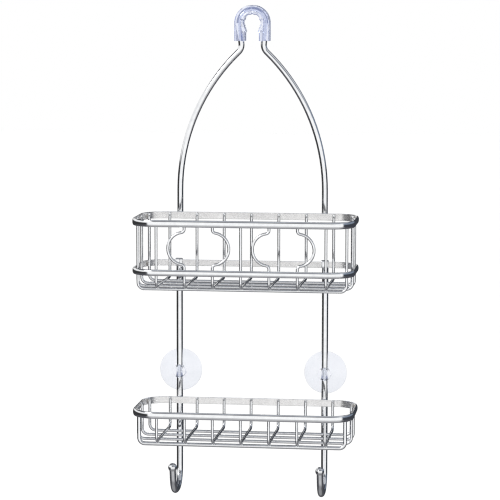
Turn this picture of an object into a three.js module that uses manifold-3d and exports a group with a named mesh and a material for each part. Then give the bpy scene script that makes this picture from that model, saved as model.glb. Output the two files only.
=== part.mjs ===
// A wire shower caddy that hangs on a shower arm: an upper and a lower basket, a bow and two hooked uprights.
// Millimetres, +Z up. The wall is at +Y and the user stands at -Y.
// The origin is the arm's seat: the highest point of the soft saddle's arch, midway through it.
import * as THREE from "three";
import { mergeVertices } from "three/addons/utils/BufferGeometryUtils.js";
import Module from "manifold-3d";

const wasm = await Module();
wasm.setup();

// ---- driving dimensions ----

const GAP = 0.3; // left between two pieces that touch or are welded

// round stock
const BOW_ROD = 7.2;
const UPRIGHT_ROD = 7.7;
const WIRE = 3.4; // basket wires
const FRONT_WIRE = 4.6; // the lower basket's front wire is heavier

// soft saddle on the shower arm
const ARM_RADIUS = 10.7; // arch of the seat, for a 21.3 mm arm
const SADDLE_RADIUS = 20.8;
const SADDLE_HALF_GAP = 8.6; // between its legs
const SADDLE_DEPTH = 20;
const SADDLE_DROP = 21.6; // from the arch's centre to the leg ends
const LOOP_RADIUS = 15.8; // rod inside the saddle
const RIB = { width: 2.2, reach: 1.7 };

// heights of the main pieces, down from the seat
const UPPER_RIM_TOP = -237.3;
const TIER_PITCH = 225.6; // from the upper basket's rim to the lower basket's rim
const LOWER_RIM_TOP = UPPER_RIM_TOP - TIER_PITCH;
const MID_RIM_DROP = 58; // from the upper basket's top rim to its lower rim
const HOOK_BOTTOM = -572.5; // centre line of the J hooks at their lowest
const CUP_HEIGHT = -431.9;

// baskets
const BASKET = { halfWidth: 131, depth: 110.4, corner: 30 };
BASKET.back = -(UPRIGHT_ROD / 2 + GAP); // the rims lie against the uprights
BASKET.front = BASKET.back - BASKET.depth;
const RIM_THICKNESS = 2;
const TOP_RIM_HEIGHT = 8.3;
const MID_RIM_HEIGHT = 7.5;
const UPPER_FLOOR_DROP = 78.8; // rim top to the centre line of the cross wires' floor
const LOWER_FLOOR_DROP = 36.2;
const CROSS_PITCH = 33;
const CROSS_COUNT = 7;
const CROSS_BEND = 6;
const LONG_PITCH = 26.8;
const LONG_COUNT = 4;
const LONG_BEND = 9;
const WIRE_SET = RIM_THICKNESS + GAP + WIRE / 2; // rim's outer face to a wire's centre line

// pair of round arches in the upper basket's front
const ARCH = { reach: 19.3, radius: 18.8, fillet: 4 };
const ARCH_SIDES = new Map([[2, -1], [3, 1], [5, -1], [6, 1]]); // cross wire to the side it bulges

// hanger bow
const BOW_HALF_WIDTH = 87.4;
const BOW_BEND = 229;
const BOW_LEAN = 45.7; // degrees from vertical where the bow closes on the neck
const BOW_SPRING = 26.7; // height above the upper rim at which the legs start to lean
const NECK_HALF_WIDTH = 12.9;
const NECK_BEND = 12;
const NECK_TURN = 195.6; // height above the upper rim of the corner under the neck

// uprights
const UPRIGHT_X = 88.4;
const TAB = { width: 8.6, thickness: 1.4, bend: 1.1 };
const J = { bend: 24, depth: 50, lean: 7.5, armTop: -541 };
const BALL_RADIUS = 5.3;

// suction cups
const CUP = { radius: 25.8, nub: 8, nubFront: -6.5, neck: 5, rim: 10.2, lip: 11.4, lipWidth: 1.8 };

// ---- materials ----

const steel = new THREE.MeshStandardMaterial({ color: 0xd9dadb, metalness: 1, roughness: 0.12 });
const softClear = new THREE.MeshStandardMaterial({ color: 0xc9d4ee, metalness: 0, roughness: 0.2 });
const cupClear = new THREE.MeshStandardMaterial({ color: 0xe3e8f2, metalness: 0, roughness: 0.25 });
const ballSteel = new THREE.MeshStandardMaterial({ color: 0x9a9c9f, metalness: 1, roughness: 0.2 });

// ---- solids ----

// A closed geometry as a manifold-3d solid, its faces turned outwards.
function solid(geometry) {
  const bare = geometry.clone();
  bare.deleteAttribute("normal");
  bare.deleteAttribute("uv");
  const merged = mergeVertices(bare, 1e-4);
  const triVerts = new Uint32Array(merged.index.array);
  const vertProperties = merged.attributes.position.array;
  const made = new wasm.Manifold(new wasm.Mesh({ numProp: 3, vertProperties, triVerts }));
  if (made.volume() > 0) return made;
  triVerts.reverse();
  return new wasm.Manifold(new wasm.Mesh({ numProp: 3, vertProperties, triVerts }));
}

// A solid back as a geometry with flat-shaded normals.
function geometryOf(made) {
  const mesh = made.getMesh();
  const geometry = new THREE.BufferGeometry();
  geometry.setAttribute("position", new THREE.BufferAttribute(mesh.vertProperties, 3));
  geometry.setIndex(new THREE.BufferAttribute(mesh.triVerts, 1));
  geometry.computeVertexNormals();
  return geometry;
}

function named(name, made, material) {
  const mesh = new THREE.Mesh(geometryOf(made), material);
  mesh.name = name;
  return mesh;
}

// A bent rod's centre line: straight runs between corners, each corner rounded by an arc.
// It has stations only where the direction changes, so a straight run is one step.
class BentRoute extends THREE.Curve {
  constructor(corners, degreesPerStep = 22) {
    super();
    this.stations = [];
    const last = corners.length - 1;
    corners.forEach(({ at, bend = 0 }, i) => {
      const before = new THREE.Vector3().subVectors(at, corners[Math.max(i - 1, 0)].at).normalize();
      const after = new THREE.Vector3().subVectors(corners[Math.min(i + 1, last)].at, at).normalize();
      if (i === 0) this.addStation(at, after);
      else if (i === last) this.addStation(at, before);
      else this.addBend(at, before, after, bend, degreesPerStep);
    });
  }

  addStation(point, tangent) {
    const previous = this.stations.at(-1);
    if (previous && previous.point.distanceTo(point) < 1e-3) return;
    this.stations.push({ point: point.clone(), tangent: tangent.clone().normalize() });
  }

  addBend(corner, before, after, bend, degreesPerStep) {
    const turn = before.angleTo(after);
    const start = corner.clone().addScaledVector(before, -bend * Math.tan(turn / 2));
    const inward = after.clone().addScaledVector(before, -before.dot(after)).normalize();
    const centre = start.clone().addScaledVector(inward, bend);
    const steps = Math.ceil(THREE.MathUtils.radToDeg(turn) / degreesPerStep);
    for (let k = 0; k <= steps; k++) {
      const angle = (turn * k) / steps;
      const point = centre.clone();
      point.addScaledVector(inward, -bend * Math.cos(angle));
      point.addScaledVector(before, bend * Math.sin(angle));
      const tangent = before.clone().multiplyScalar(Math.cos(angle));
      this.addStation(point, tangent.addScaledVector(inward, Math.sin(angle)));
    }
  }

  get steps() {
    return this.stations.length - 1;
  }

  station(u) {
    return this.stations[Math.round(u * this.steps)];
  }

  getPoint(u) {
    return this.station(u).point.clone();
  }

  getPointAt(u) {
    return this.getPoint(u);
  }

  getTangentAt(u, target = new THREE.Vector3()) {
    return target.copy(this.station(u).tangent);
  }
}

function swept(route, section) {
  return solid(new THREE.ExtrudeGeometry(section, { steps: route.steps, extrudePath: route }));
}

function roundSection(diameter, sides) {
  const points = [];
  for (let k = 0; k < sides; k++) {
    const angle = (2 * Math.PI * (k + 0.5)) / sides;
    points.push(new THREE.Vector2(Math.cos(angle), Math.sin(angle)).multiplyScalar(diameter / 2));
  }
  return new THREE.Shape(points);
}

const wireSection = (diameter) => roundSection(diameter, 6);
const rodSection = (diameter) => roundSection(diameter, 10);
const at = (x, y, z, bend) => ({ at: new THREE.Vector3(x, y, z), bend });

// ---- rims ----

// The basket's plan: a rectangle with round corners, drawn inset from the rim's outer face.
function basketPlan(inset) {
  const x = BASKET.halfWidth - inset;
  const back = BASKET.back - inset;
  const front = BASKET.front + inset;
  const r = BASKET.corner - inset;
  const plan = new THREE.Shape();
  plan.absarc(x - r, back - r, r, 0, Math.PI / 2);
  plan.absarc(-x + r, back - r, r, Math.PI / 2, Math.PI);
  plan.absarc(-x + r, front + r, r, Math.PI, 1.5 * Math.PI);
  plan.absarc(x - r, front + r, r, 1.5 * Math.PI, 2 * Math.PI);
  plan.closePath();
  return plan;
}

// A band that is flat inside and rounded outside.
function rimBand(top, height) {
  const rounding = { bevelThickness: height * 0.38, bevelSize: RIM_THICKNESS * 0.75 };
  const slab = new THREE.ExtrudeGeometry(basketPlan(0), {
    depth: height - 2 * rounding.bevelThickness,
    curveSegments: 6,
    bevelSegments: 2,
    bevelOffset: -rounding.bevelSize,
    ...rounding,
  });
  slab.translate(0, 0, top - height + rounding.bevelThickness);
  const inside = new THREE.ExtrudeGeometry(basketPlan(RIM_THICKNESS), {
    depth: 2 * height,
    curveSegments: 6,
    bevelEnabled: false,
  });
  inside.translate(0, 0, top - 1.5 * height);
  return solid(slab).subtract(solid(inside));
}

// ---- basket wires ----

const FRONT_WIRES_Y = BASKET.front + WIRE_SET;
const BACK_WIRES_Y = BASKET.back - WIRE_SET;
const MIDDLE_Y = (BASKET.front + BASKET.back) / 2;
const WIRE_TOP_DROP = 1; // wires stop this far below the rim's top edge

// Four corners that carry a front upright round one half of a round arch and back to its line.
function archCorners(x, y, middle, side) {
  const offset = ARCH.reach - ARCH.radius; // arch's centre beyond the wire's line
  const turn = Math.acos((ARCH.fillet - offset) / (ARCH.radius + ARCH.fillet));
  const half = Math.tan(turn / 2);
  const mouth = (ARCH.radius + ARCH.fillet) * Math.sin(turn) - ARCH.fillet * half;
  const shoulder = ARCH.radius * half;
  const out = x + side * ARCH.reach;
  return [
    at(x, y, middle + mouth, ARCH.fillet),
    at(out, y, middle + shoulder, ARCH.radius),
    at(out, y, middle - shoulder, ARCH.radius),
    at(x, y, middle - mouth, ARCH.fillet),
  ];
}

// A wire that runs down the front, under the basket and up the back.
function crossWire(x, rimTop, floor, archSide) {
  const archMiddle = rimTop - (MID_RIM_DROP + TOP_RIM_HEIGHT) / 2;
  const arch = archSide ? archCorners(x, FRONT_WIRES_Y, archMiddle, archSide) : [];
  const route = new BentRoute([
    at(x, FRONT_WIRES_Y, rimTop - WIRE_TOP_DROP),
    ...arch,
    at(x, FRONT_WIRES_Y, floor, CROSS_BEND),
    at(x, BACK_WIRES_Y, floor, CROSS_BEND),
    at(x, BACK_WIRES_Y, rimTop - WIRE_TOP_DROP),
  ], 30);
  return swept(route, wireSection(WIRE));
}

// Half-width at which a wire of this diameter stands inside the rim, at a distance from mid-depth.
function sideWireX(y, diameter) {
  const set = RIM_THICKNESS + GAP + diameter / 2;
  const cornerY = (BASKET.back - BASKET.front) / 2 - BASKET.corner;
  const beyond = Math.max(Math.abs(y - MIDDLE_Y) - cornerY, 0);
  return BASKET.halfWidth - BASKET.corner + Math.sqrt((BASKET.corner - set) ** 2 - beyond ** 2);
}

// A wire that runs down one side, under the cross wires and up the other side.
function longWire(y, rimTop, crossFloor, diameter) {
  const x = sideWireX(y, diameter);
  const top = rimTop - WIRE_TOP_DROP;
  const floor = crossFloor - (WIRE + diameter) / 2 - GAP;
  const bend = LONG_BEND - diameter / 2;
  const route = new BentRoute([
    at(-x, y, top),
    at(-x, y, floor, bend),
    at(x, y, floor, bend),
    at(x, y, top),
  ], 30);
  return swept(route, wireSection(diameter));
}

function basketWires(prefix, rimTop, floorDrop, { arches, frontDiameter }) {
  const meshes = [];
  const floor = rimTop - floorDrop;
  for (let n = 1; n <= CROSS_COUNT; n++) {
    const x = (n - (CROSS_COUNT + 1) / 2) * CROSS_PITCH;
    const made = crossWire(x, rimTop, floor, arches ? ARCH_SIDES.get(n) : undefined);
    meshes.push(named(`${prefix}_cross_wire_${n}`, made, steel));
  }
  for (let n = 1; n <= LONG_COUNT; n++) {
    const y = MIDDLE_Y + (n - (LONG_COUNT + 1) / 2) * LONG_PITCH;
    const made = longWire(y, rimTop, floor, n === 1 ? frontDiameter : WIRE);
    meshes.push(named(`${prefix}_long_wire_${n}`, made, steel));
  }
  return meshes;
}

// ---- hanger bow and its saddle ----

// Angle from vertical of the neck, which runs from its lower corner along the tangent to the loop's circle.
function neckTaper() {
  const belowCentre = -ARM_RADIUS - UPPER_RIM_TOP - NECK_TURN;
  const toCentre = Math.hypot(NECK_HALF_WIDTH, belowCentre);
  return Math.asin(LOOP_RADIUS / toCentre) - Math.atan2(NECK_HALF_WIDTH, belowCentre);
}

// The bow's right half from the leg's foot to the top of the loop.
function bowHalf(side) {
  const lean = THREE.MathUtils.degToRad(BOW_LEAN);
  const shoulder = UPPER_RIM_TOP + BOW_SPRING + BOW_BEND * Math.tan(lean / 2);
  const loopTop = -ARM_RADIUS + LOOP_RADIUS;
  const taper = neckTaper();
  const loopCorner = LOOP_RADIUS * Math.tan(Math.PI / 4 + taper / 2);
  return [
    at(side * BOW_HALF_WIDTH, 0, UPPER_RIM_TOP - TOP_RIM_HEIGHT + WIRE_TOP_DROP),
    at(side * BOW_HALF_WIDTH, 0, shoulder, BOW_BEND),
    at(side * NECK_HALF_WIDTH, 0, UPPER_RIM_TOP + NECK_TURN, NECK_BEND),
    at(side * loopCorner, 0, loopTop, LOOP_RADIUS),
  ];
}

const bowRoute = new BentRoute([...bowHalf(-1), ...bowHalf(1).reverse()], 6);

// Outline of the saddle: an arch with two legs, open at the bottom.
function saddleOutline() {
  const foot = -ARM_RADIUS - SADDLE_DROP;
  const round = 3;
  const legTurn = Math.acos(SADDLE_HALF_GAP / ARM_RADIUS);
  const outline = new THREE.Shape();
  outline.moveTo(SADDLE_HALF_GAP, foot);
  outline.lineTo(SADDLE_RADIUS - round, foot);
  outline.absarc(SADDLE_RADIUS - round, foot + round, round, -Math.PI / 2, 0);
  outline.absarc(0, -ARM_RADIUS, SADDLE_RADIUS, 0, Math.PI);
  outline.absarc(-SADDLE_RADIUS + round, foot + round, round, Math.PI, 1.5 * Math.PI);
  outline.lineTo(-SADDLE_HALF_GAP, foot);
  outline.absarc(0, -ARM_RADIUS, ARM_RADIUS, Math.PI + legTurn, -legTurn, true);
  outline.closePath();
  return outline;
}

// A grip rib across the saddle, standing on the inner face at x, z and pointing along an angle.
function saddleRib(x, z, angle) {
  const rib = new THREE.BoxGeometry(2 * RIB.reach, SADDLE_DEPTH, RIB.width);
  rib.rotateY(-angle);
  return solid(rib.translate(x, 0, z));
}

function armSaddle() {
  const body = new THREE.ExtrudeGeometry(saddleOutline(), {
    depth: SADDLE_DEPTH,
    curveSegments: 12,
    bevelEnabled: false,
  });
  body.rotateX(Math.PI / 2).translate(0, SADDLE_DEPTH / 2, 0);
  let made = solid(body);
  for (const degrees of [-15, 24, 76, 104, 156, 195]) {
    const angle = THREE.MathUtils.degToRad(degrees);
    const x = ARM_RADIUS * Math.cos(angle);
    made = made.add(saddleRib(x, ARM_RADIUS * (Math.sin(angle) - 1), angle));
  }
  for (const side of [-1, 1]) made = made.add(saddleRib(side * SADDLE_HALF_GAP, -2 * ARM_RADIUS + 1, 0));
  return made.subtract(swept(bowRoute, rodSection(BOW_ROD + 2 * GAP)));
}

// ---- uprights, their hooks and balls ----

function uprightRoute(x, armTop) {
  return new BentRoute([
    at(x, 0, UPPER_RIM_TOP - MID_RIM_DROP - 3),
    at(x, 0, HOOK_BOTTOM, J.bend),
    at(x, -J.depth, HOOK_BOTTOM, J.bend),
    at(x, -J.depth - J.lean, armTop),
  ], 12);
}

// The upright's top is flattened into a strap that goes over the upper basket's lower rim.
function hookStrap(x) {
  const bandTop = UPPER_RIM_TOP - MID_RIM_DROP;
  const over = bandTop + GAP + TAB.thickness / 2;
  const behind = BASKET.back + GAP + TAB.thickness / 2;
  const ahead = BASKET.back - RIM_THICKNESS - GAP - TAB.thickness / 2;
  const t = TAB.thickness / 2;
  const w = TAB.width / 2;
  const strip = new THREE.Shape([
    new THREE.Vector2(-t, -w),
    new THREE.Vector2(t, -w),
    new THREE.Vector2(t, w),
    new THREE.Vector2(-t, w),
  ]);
  const route = new BentRoute([
    at(x, behind, bandTop - 14),
    at(x, behind, over, TAB.bend),
    at(x, ahead, over, TAB.bend),
    at(x, ahead, bandTop - MID_RIM_HEIGHT - 0.5),
  ], 30);
  return swept(route, strip);
}

function upright(x) {
  return swept(uprightRoute(x, J.armTop), rodSection(UPRIGHT_ROD)).add(hookStrap(x));
}

// A ball with a socket for the end of the hook.
function hookBall(x) {
  const ball = new THREE.SphereGeometry(BALL_RADIUS, 12, 8);
  ball.translate(x, -J.depth - J.lean, J.armTop + 1);
  return solid(ball).subtract(swept(uprightRoute(x, J.armTop + GAP), rodSection(UPRIGHT_ROD + 2 * GAP)));
}

// ---- suction cups ----

// A dished cup with a nub in front of it; the upright passes through the nub.
function suctionCup(x) {
  const profile = [
    [0, CUP.nubFront],
    [CUP.nub - 1.5, CUP.nubFront],
    [CUP.nub, CUP.nubFront + 1.5],
    [CUP.nub, CUP.neck - 1],
    [CUP.nub + 1.5, CUP.neck],
    [CUP.radius * 0.75, (CUP.neck + CUP.rim) / 2 - 0.4],
    [CUP.radius, CUP.rim],
    [CUP.radius, CUP.lip],
    [CUP.radius - CUP.lipWidth, CUP.lip],
    [CUP.radius * 0.7, CUP.rim - 1.2],
    [CUP.radius * 0.35, CUP.rim - 2.6],
    [0, CUP.rim - 3],
  ];
  const lathe = new THREE.LatheGeometry(profile.map(([r, y]) => new THREE.Vector2(r, y)), 24);
  lathe.translate(x, 0, CUP_HEIGHT);
  const bore = UPRIGHT_ROD / 2 + GAP;
  const hole = new THREE.CylinderGeometry(bore, bore, 4 * CUP.nub, 16);
  hole.rotateX(Math.PI / 2).translate(x, 0, CUP_HEIGHT);
  return solid(lathe).subtract(solid(hole));
}

// ---- the caddy ----

const caddy = new THREE.Group();

const upperSection = new THREE.Group();
upperSection.add(named("hanger_bow", swept(bowRoute, rodSection(BOW_ROD)), steel));
upperSection.add(named("arm_saddle", armSaddle(), softClear));
upperSection.add(named("upper_top_rim", rimBand(UPPER_RIM_TOP, TOP_RIM_HEIGHT), steel));
upperSection.add(named("upper_lower_rim", rimBand(UPPER_RIM_TOP - MID_RIM_DROP, MID_RIM_HEIGHT), steel));
upperSection.add(...basketWires("upper", UPPER_RIM_TOP, UPPER_FLOOR_DROP, {
  arches: true,
  frontDiameter: WIRE,
}));

const lowerSection = new THREE.Group();
lowerSection.add(named("lower_top_rim", rimBand(LOWER_RIM_TOP, TOP_RIM_HEIGHT), steel));
lowerSection.add(...basketWires("lower", LOWER_RIM_TOP, LOWER_FLOOR_DROP, {
  arches: false,
  frontDiameter: FRONT_WIRE,
}));
for (const [side, sign] of [["left", -1], ["right", 1]]) {
  const x = sign * UPRIGHT_X;
  lowerSection.add(named(`upright_${side}`, upright(x), steel));
  lowerSection.add(named(`hook_ball_${side}`, hookBall(x), ballSteel));
  lowerSection.add(named(`suction_cup_${side}`, suctionCup(x), cupClear));
}

caddy.add(upperSection, lowerSection);
export default caddy;
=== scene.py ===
# %% [markdown]
# # A hanging wire shower caddy
# The real caddy is bright stainless wire, spot welded into two baskets. A bent rod hangs the upper basket
# on a shower arm through a soft clear saddle. Two straight rods hook over the upper basket and carry the
# lower one, two clear suction cups and two forward hooks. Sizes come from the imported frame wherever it
# has them, so each smooth piece follows the plain solid that it stands for, to under a millimetre on the
# wires, rims, bow and balls, and less closely on the saddle, the cups and the uprights' straps.

# %% The frame
import math

import bpy
import numpy as np
from mathutils import Euler, Matrix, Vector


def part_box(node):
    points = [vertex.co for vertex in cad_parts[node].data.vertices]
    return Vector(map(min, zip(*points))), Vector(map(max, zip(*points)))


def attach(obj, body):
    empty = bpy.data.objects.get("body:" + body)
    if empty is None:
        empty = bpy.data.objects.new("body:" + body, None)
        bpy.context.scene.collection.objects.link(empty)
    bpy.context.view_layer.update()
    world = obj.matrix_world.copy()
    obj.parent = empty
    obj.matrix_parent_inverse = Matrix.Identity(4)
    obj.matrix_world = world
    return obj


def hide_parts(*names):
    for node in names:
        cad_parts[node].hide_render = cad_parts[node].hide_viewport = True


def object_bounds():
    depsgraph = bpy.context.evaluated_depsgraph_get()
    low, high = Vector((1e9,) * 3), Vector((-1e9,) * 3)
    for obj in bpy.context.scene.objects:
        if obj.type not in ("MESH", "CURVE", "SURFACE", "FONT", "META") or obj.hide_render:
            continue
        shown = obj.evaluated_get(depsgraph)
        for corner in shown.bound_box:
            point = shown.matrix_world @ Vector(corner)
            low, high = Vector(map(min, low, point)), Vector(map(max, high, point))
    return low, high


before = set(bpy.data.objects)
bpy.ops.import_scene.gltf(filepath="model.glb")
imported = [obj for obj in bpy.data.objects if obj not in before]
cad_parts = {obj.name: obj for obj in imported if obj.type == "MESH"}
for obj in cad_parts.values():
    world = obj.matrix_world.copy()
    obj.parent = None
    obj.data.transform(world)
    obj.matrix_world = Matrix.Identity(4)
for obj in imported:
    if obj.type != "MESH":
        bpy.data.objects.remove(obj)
cad_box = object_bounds()

# %% [markdown]
# ## The camera
# A long lens from nearly three metres keeps the uprights parallel. It stands a little to the right of the
# middle and a little above the arm, so that both the baskets' floors and the rims' inner faces show.

# %% Camera
CAMERA_PLACE = (0.3376, -2.7463, 0.0251)
CAMERA_TURN = 7.064  # degrees to the left of straight ahead
CAMERA_DROP = 6.358  # degrees below level
CAMERA_ROLL = 0.11  # degrees, the right side up
LENS_MM = 166.5


def make_camera():
    """A camera at its place, turned from looking along +Y by the turn and the drop, then rolled about its
    own line of sight."""
    camera = bpy.data.objects.new("camera", bpy.data.cameras.new("camera"))
    bpy.context.scene.collection.objects.link(camera)
    camera.data.lens = LENS_MM
    camera.data.sensor_width = 36.0
    camera.data.clip_start = 0.05
    camera.location = CAMERA_PLACE
    aimed = Euler((math.radians(90 - CAMERA_DROP), 0, math.radians(CAMERA_TURN))).to_matrix()
    camera.rotation_euler = (aimed @ Matrix.Rotation(math.radians(CAMERA_ROLL), 3, "Z")).to_euler()
    bpy.context.scene.camera = camera
    return camera


make_camera()

# %% [markdown]
# ## Paths and skins
# Nearly every piece is a rod bent round a few corners, so two helpers make most of the caddy. One turns
# corners and bend radii into a centre line. The other carries a section along it and closes both ends
# with a small rounded edge, which is what a cropped and tumbled wire has.


# %% Bent centre lines
def straight_run(start, end, step):
    """Points from a start up to but not including an end, no more than a step apart."""
    count = max(1, math.ceil(np.linalg.norm(end - start) / step))
    return start + (end - start) * (np.arange(count) / count)[:, None]


def bent_path(corners, bends, fineness=math.radians(5), step=0.006):
    """A bent rod's centre line, as points and unit directions. Straight runs join the corners, with a
    point at every step so that smooth shading stays even along them. At a corner that turns by t, with
    bend radius r, the arc starts r tan(t/2) before it, and its points are start + r (1 - cos a) inward +
    r sin(a) along, for a from 0 to t."""
    corners = np.asarray(corners, float)
    legs = np.diff(corners, axis=0)
    legs /= np.linalg.norm(legs, axis=1, keepdims=True)
    points, directions = [], []
    reached = corners[0]
    for corner, before, after, bend in zip(corners[1:-1], legs[:-1], legs[1:], bends):
        turn = math.acos(np.clip(before @ after, -1, 1))
        inward = after - before * (before @ after)
        inward /= np.linalg.norm(inward)
        a = np.linspace(0, turn, max(3, math.ceil(turn / fineness)) + 1)[:, None]
        start = corner - before * bend * math.tan(turn / 2)
        run = straight_run(reached, start, step)
        points.append(run)
        directions.append(np.repeat(before[None], len(run), 0))
        points.append(start + inward * bend * (1 - np.cos(a)) + before * bend * np.sin(a))
        directions.append(before * np.cos(a) + inward * np.sin(a))
        reached = points[-1][-1]
    run = straight_run(reached, corners[-1], step)
    points = np.concatenate([*points, run, corners[-1:]])
    directions = np.concatenate([*directions, np.repeat(legs[-1:], len(run) + 1, 0)])
    new = np.r_[True, np.linalg.norm(np.diff(points, axis=0), axis=1) > 1e-6]
    return points[new], directions[new]


def carried_across(directions, first):
    """A unit vector square to the path at each station, carried along without twist: the last one, less
    its part along the new direction."""
    across = [np.asarray(first, float)]
    for direction in directions:
        flat = across[-1] - direction * (across[-1] @ direction)
        across.append(flat / np.linalg.norm(flat))
    return np.array(across[1:])


def rounded_ends(points, directions, edge, steps=4):
    """Stations added at both ends of a path, and a share of the full section at each, for an end whose
    edge is rounded by a radius: share = 1 - edge (1 - cos a) and distance from the end = edge (1 - sin
    a)."""
    a = np.linspace(0, math.pi / 2, steps + 1)
    inset = edge * (1 - np.sin(a))[:, None]
    shrink = 1 - np.cos(a[::-1])
    head = points[0] + directions[0] * inset[::-1]
    tail = points[-1] - directions[-1] * inset
    places = np.concatenate([head, points[1:-1], tail])
    ways = np.concatenate([np.repeat(directions[:1], steps + 1, 0), directions[1:-1],
                           np.repeat(directions[-1:], steps + 1, 0)])
    cut = np.concatenate([shrink, np.zeros(len(points) - 2), shrink[::-1]])
    return places, ways, cut


# %% Skins
def signed_volume(vertices, triangles):
    """Six times a closed mesh's volume, as the sum of a . (b x c) over its triangles."""
    a, b, c = (vertices[triangles[:, i]] for i in range(3))
    return np.einsum("ij,ij->", a, np.cross(b, c))


def make_piece(name, vertices, quads, triangles, uv_quads=None, uv_triangles=None):
    """An object at the origin from vertices, four-sided faces and triangles, turned to face outwards."""
    halves = np.concatenate([quads[:, [0, 1, 2]], quads[:, [0, 2, 3]], triangles])
    if signed_volume(vertices, halves) < 0:
        quads, triangles = quads[:, ::-1], triangles[:, ::-1]
        uv_quads = None if uv_quads is None else uv_quads[:, ::-1]
        uv_triangles = None if uv_triangles is None else uv_triangles[:, ::-1]
    mesh = bpy.data.meshes.new(name)
    mesh.from_pydata(vertices.tolist(), [], [*quads.tolist(), *triangles.tolist()])
    if uv_quads is not None:
        layer = mesh.uv_layers.new(name="UVMap")
        uv = np.concatenate([uv_quads.reshape(-1, 2), uv_triangles.reshape(-1, 2)])
        layer.data.foreach_set("uv", uv.astype(np.float32).ravel())
    mesh.shade_smooth()
    mesh.update()
    piece = bpy.data.objects.new(name, mesh)
    bpy.context.scene.collection.objects.link(piece)
    return piece


def grid_faces(rows, columns, loop_rows=False):
    """Corner indices of the four-sided faces of a grid whose columns close on themselves, and the same
    corners on a grid with one more column, for the UV map."""
    i, k = np.meshgrid(np.arange(rows if loop_rows else rows - 1), np.arange(columns), indexing="ij")
    i, k = i.ravel(), k.ravel()
    below = (i + 1) % rows
    right = (k + 1) % columns
    row, next_row = i * columns, below * columns
    quads = np.stack([row + k, row + right, next_row + right, next_row + k], 1)
    corners = [(i, k), (i, k + 1), (i + 1, k + 1), (i + 1, k)]
    flat = np.stack([np.stack(corner, 1) for corner in corners], 1)
    return quads, flat


def skin(name, grid, around, along, loop_rows=False):
    """A closed skin over a grid of points. Columns run round the section and close. Rows run along the
    path, and either close too or end in a flat face fanned from its middle. UV is metres around and
    metres along."""
    rows, columns = grid.shape[:2]
    quads, flat = grid_faces(rows, columns, loop_rows)
    uv_quads = np.stack([around[flat[..., 1]], along[flat[..., 0]]], -1)
    vertices = grid.reshape(-1, 3)
    triangles = np.zeros((0, 3), int)
    uv_triangles = np.zeros((0, 3, 2))
    if not loop_rows:
        k = np.arange(columns)
        after = (k + 1) % columns
        last = (rows - 1) * columns
        middle = len(vertices)
        head = np.stack([after, k, np.full(columns, middle)], 1)
        tail = np.stack([last + k, last + after, np.full(columns, middle + 1)], 1)
        triangles = np.concatenate([head, tail])
        vertices = np.concatenate([vertices, grid[:1].mean(1), grid[-1:].mean(1)])
        uv_triangles = np.zeros((2 * columns, 3, 2))
        uv_triangles[columns:, :, 1] = along[rows - 1]
    return make_piece(name, vertices, quads, triangles, uv_quads, uv_triangles)


def lengths_along(points):
    """Distance along a path to each of its points."""
    return np.r_[0, np.cumsum(np.linalg.norm(np.diff(points, axis=0), axis=1))]


def round_bar(name, points, directions, diameter, sides=20, first=(1.0, 0.0, 0.0), edge_share=0.3):
    """A round rod or wire on a centre line: point = centre + r cos(a) across + r sin(a) lift."""
    radius = diameter / 2
    edge = edge_share * radius
    points, directions, cut = rounded_ends(points, directions, edge)
    across = carried_across(directions, first)
    lift = np.cross(directions, across)
    a = np.linspace(0, 2 * math.pi, sides, endpoint=False)
    r = (radius - edge * cut)[:, None, None]
    ring = np.cos(a)[None, :, None] * across[:, None] + np.sin(a)[None, :, None] * lift[:, None]
    around = np.linspace(0, math.pi * diameter, sides + 1)
    return skin(name, points[:, None] + r * ring, around, lengths_along(points))


# %% [markdown]
# ## Finishes
# Bright drawn wire is a mirror with faint lines along its length, so the lines follow each wire's own UV
# map. The rims are rolled strip: polished outside and satin inside, where the polishing wheel doesn't
# reach. The saddle and cups are soft clear vinyl with a blue cast, which is glass with a lower index, a
# little roughness and a slow mottle from moulding.


# %% Finish helpers
def new_material(name):
    """A node material and its shader."""
    material = bpy.data.materials.new(name)
    material.use_nodes = True
    return material, material.node_tree, material.node_tree.nodes["Principled BSDF"]


def noise(tree, coordinates, scale, detail=3.0, stretch=(1.0, 1.0, 1.0)):
    """Noise with this many cells to the metre, stretched along some axes."""
    turn = tree.nodes.new("ShaderNodeMapping")
    turn.inputs["Scale"].default_value = stretch
    tree.links.new(coordinates, turn.inputs["Vector"])
    texture = tree.nodes.new("ShaderNodeTexNoise")
    texture.inputs["Scale"].default_value = scale
    texture.inputs["Detail"].default_value = detail
    tree.links.new(turn.outputs["Vector"], texture.inputs["Vector"])
    return texture.outputs["Fac"]


def spread(tree, value, low, high):
    """A noise value from 0.3 to 0.7 spread over a range."""
    node = tree.nodes.new("ShaderNodeMapRange")
    node.inputs["From Min"].default_value = 0.3
    node.inputs["From Max"].default_value = 0.7
    node.inputs["To Min"].default_value = low
    node.inputs["To Max"].default_value = high
    tree.links.new(value, node.inputs["Value"])
    return node.outputs["Result"]


def tint(tree, value, dark, light):
    """A colour between two, by a noise value."""
    ramp = tree.nodes.new("ShaderNodeValToRGB")
    ramp.color_ramp.elements[0].position = 0.3
    ramp.color_ramp.elements[1].position = 0.7
    ramp.color_ramp.elements[0].color = (*dark, 1)
    ramp.color_ramp.elements[1].color = (*light, 1)
    tree.links.new(value, ramp.inputs["Fac"])
    return ramp.outputs["Color"]


def bump(tree, shader, value, height):
    """Relief of a height in metres."""
    node = tree.nodes.new("ShaderNodeBump")
    node.inputs["Strength"].default_value = 1.0
    node.inputs["Distance"].default_value = height
    tree.links.new(value, node.inputs["Height"])
    tree.links.new(node.outputs["Normal"], shader.inputs["Normal"])


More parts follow.
